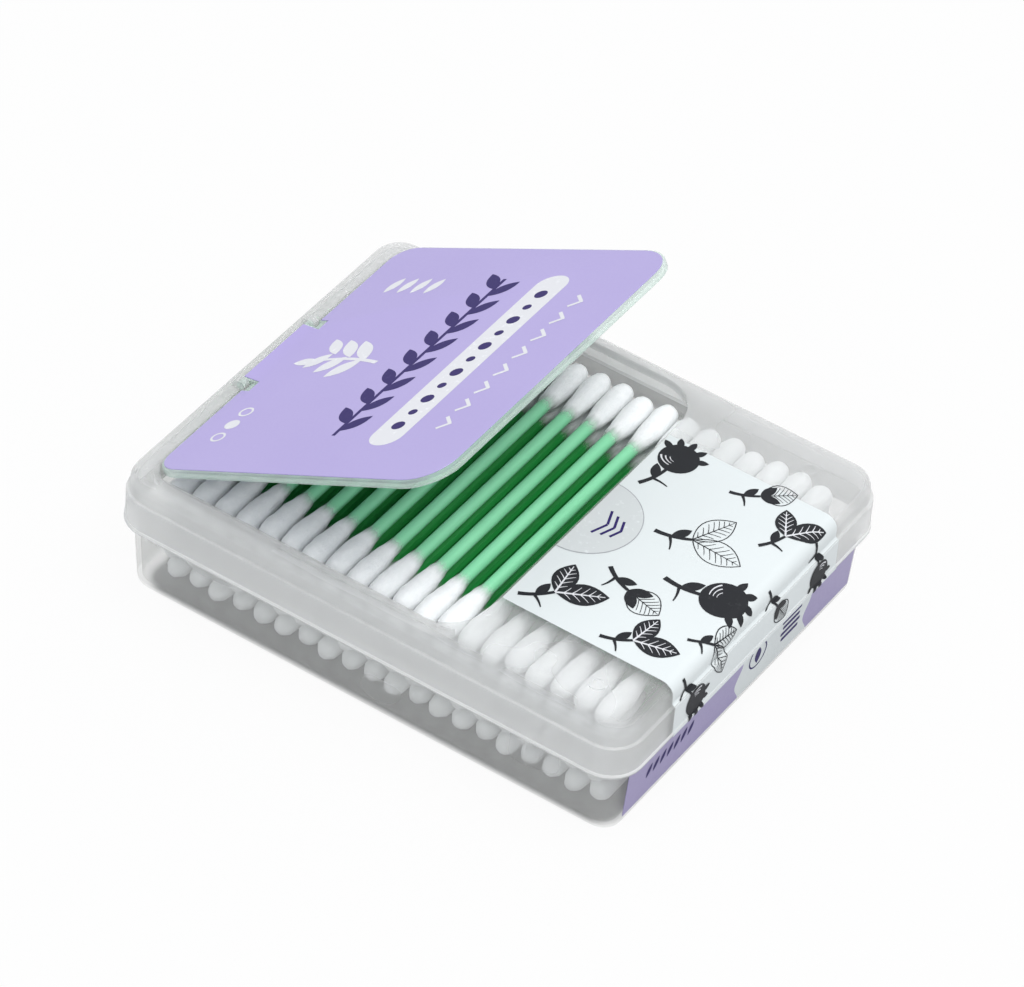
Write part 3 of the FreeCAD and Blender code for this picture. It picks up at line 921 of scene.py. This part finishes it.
def swab_centre(layer, index):
    # Middle of a swab; the layers lie nearly straight above each other.
    aside = LAYER_SHIFT / 2 if layer % 2 == 0 else -LAYER_SHIFT / 2
    rise = math.sqrt(SWAB_PITCH ** 2 - LAYER_SHIFT ** 2)
    x = (index - (SWABS_PER_LAYER - 1) / 2) * SWAB_PITCH + aside
    y = SCATTER * math.sin(SCATTER_TURN * (index + SWABS_PER_LAYER * layer))
    return Vector((x, y, TRAY_WALL + TIP_RADIUS + layer * rise))


def add_tips(bm, centre, meshes, rng):
    for side in (-1, 1):
        mesh = rng.choice(meshes)
        start = len(bm.verts)
        bm.from_mesh(mesh)
        bm.verts.ensure_lookup_table()
        turn = Matrix.Rotation(rng.uniform(0, 2 * math.pi), 4, "Y")
        flip = Matrix.Identity(4) if side < 0 else Matrix.Rotation(math.pi, 4, "Z")
        move = Matrix.Translation(centre + Vector((0, side * SWAB_HALF, 0))) @ flip @ turn
        bmesh.ops.transform(bm, matrix=move, verts=bm.verts[start:])


def add_stem(bm, centre, segments):
    reach = SWAB_HALF - STEM_INSET
    rod(bm, centre.x, centre.z, STEM_RADIUS, centre.y - reach, centre.y + reach, segments)


def make_swabs():
    rng = random.Random(11)
    fine = [tip_mesh(seed, 20, TIP_PROFILE) for seed in range(8)]
    coarse = [tip_mesh(seed + 20, 10, TIP_PROFILE[::2] + TIP_PROFILE[-1:]) for seed in range(3)]
    for index in range(SWABS_PER_LAYER):
        centre = swab_centre(LOWER_LAYERS, index)
        number = "%02d" % (index + 1)
        bm = bmesh.new()
        add_tips(bm, centre, fine, rng)
        piece("cotton_" + number, bm, [COTTON], "box", ["swab_%s_cotton" % number], 3.0)
        bm = bmesh.new()
        add_stem(bm, centre, 20)
        piece("stem_" + number, bm, [STEM], "box", ["swab_%s_stem" % number])
    for layer in range(LOWER_LAYERS):
        tips = bmesh.new()
        stems = bmesh.new()
        for index in range(SWABS_PER_LAYER):
            centre = swab_centre(layer, index)
            add_tips(tips, centre, coarse, rng)
            add_stem(stems, centre, 10)
        name = "layer_%d" % (layer + 1)
        piece(name + "_tips", tips, [COTTON], "box", [name + "_cotton"], 3.0)
        # The lower layers' sticks take the darker copy of the stem plastic: painted shade.
        piece(name + "_sticks", stems, [SHADED_STEM], "box", [name + "_stems"])
    for mesh in fine + coarse:
        bpy.data.meshes.remove(mesh)


# Stage, light and camera

def white_surface(name, tint, shown):
    # Pale floor that the camera sees as white, except under the box, where it lies in its shade.
    made = bpy.data.materials.new(name)
    made.use_nodes = True
    tree = made.node_tree
    shader = tree.nodes["Principled BSDF"]
    shader.inputs["Roughness"].default_value = 0.9
    x, y = Socket(tree, tree.nodes.new("ShaderNodeTexCoord").outputs["Object"]).parts()[:2]
    # The shade fades out round a smaller rectangle within the box's outline.
    inner = 8.5
    fade_start, fade_end = 0.0034, 0.0054
    beyond_x = (x.math("ABSOLUTE") - (COVER_X - inner) * MM).math("MAXIMUM", 0.0)
    beyond_y = (y.math("ABSOLUTE") - (COVER_Y - inner) * MM).math("MAXIMUM", 0.0)
    under = 1.0 - (beyond_x * beyond_x + beyond_y * beyond_y).math("SQRT").soft(fade_start, fade_end)
    shade = under.mix(tint, tuple(0.35 * c for c in tint[:3]) + (1.0,))
    tree.links.new(shade.out, shader.inputs["Base Color"])
    seen = Socket(tree, tree.nodes.new("ShaderNodeLightPath").outputs["Is Camera Ray"])
    glow = shade.node("ShaderNodeEmission", None, 0, Color=colour(1, 1, 1))
    surface = Socket(tree, shader.outputs[0])
    mixed = surface.node("ShaderNodeMixShader", None, 0, i0=seen * shown * (1.0 - under), i1=surface, i2=glow)
    tree.links.new(mixed.out, tree.nodes["Material Output"].inputs[0])
    return made


def make_stage():
    bm = bmesh.new()
    bmesh.ops.create_grid(bm, x_segments=1, y_segments=1, size=6.0)
    mesh = bpy.data.meshes.new("floor")
    bm.to_mesh(mesh)
    bm.free()
    mesh.materials.append(white_surface("floor_white", colour(0.55, 0.55, 0.55), 0.94))
    floor = bpy.data.objects.new("floor", mesh)
    floor.location.z = -0.0002
    bpy.context.scene.collection.objects.link(floor)


def area_light(name, place, target, size, power, tint=(1, 1, 1)):
    data = bpy.data.lights.new(name, "AREA")
    data.energy = power
    data.size = size
    data.color = tint
    lamp = bpy.data.objects.new(name, data)
    lamp.location = place
    lamp.rotation_euler = (Vector(target) - Vector(place)).to_track_quat("-Z", "Y").to_euler()
    bpy.context.scene.collection.objects.link(lamp)


def make_lights():
    world = bpy.data.worlds.new("studio")
    world.use_nodes = True
    background = world.node_tree.nodes["Background"]
    background.inputs["Color"].default_value = colour(0.95, 0.97, 1.0)
    background.inputs["Strength"].default_value = 1.0
    bpy.context.scene.world = world
    area_light("key", (0.30, 0.05, 1.0), (0, 0, 0.02), 0.7, 6.5, (1.0, 0.99, 0.97))
    area_light("fill", (0.0, -0.9, 0.6), (0, 0, 0.01), 0.9, 2.0, (0.97, 0.98, 1.0))


def make_camera():
    # At the photograph's angle; scale and shifts are in pixels of a picture 1024 wide, scale for each mm.
    azimuth, elevation, roll = math.radians(30.79), math.radians(42.72), math.radians(5.11)
    distance = 1.0319
    picture_width = 1024
    scale = 5.61
    shift_right, shift_up = 13.94, 40.0
    sensor = 36.0
    back = Vector((math.sin(azimuth) * math.cos(elevation), -math.cos(azimuth) * math.cos(elevation),
                   math.sin(elevation)))
    level = Vector((math.cos(azimuth), math.sin(azimuth), 0))
    right = level * math.cos(roll) + back.cross(level) * math.sin(roll)
    up = back.cross(right)
    target = Vector((0, 0, 0.012)) + right * (shift_right / scale * MM) + up * (shift_up / scale * MM)
    data = bpy.data.cameras.new("camera")
    data.sensor_fit = "HORIZONTAL"
    data.sensor_width = sensor
    data.lens = scale * distance / MM / picture_width * sensor
    data.clip_end = 20.0
    camera = bpy.data.objects.new("camera", data)
    camera.location = target + back * distance
    camera.rotation_euler = Matrix((right, up, back)).transposed().to_euler()
    bpy.context.scene.collection.objects.link(camera)
    bpy.context.scene.camera = camera
    bpy.context.scene.view_settings.view_transform = "Standard"


make_tray()
make_cover()
make_flap()
make_flap_label()
make_front_label()
make_front_print()
make_wall_print()
make_press_mark()
make_flap_print()
make_swabs()
make_stage()
make_lights()
make_camera()
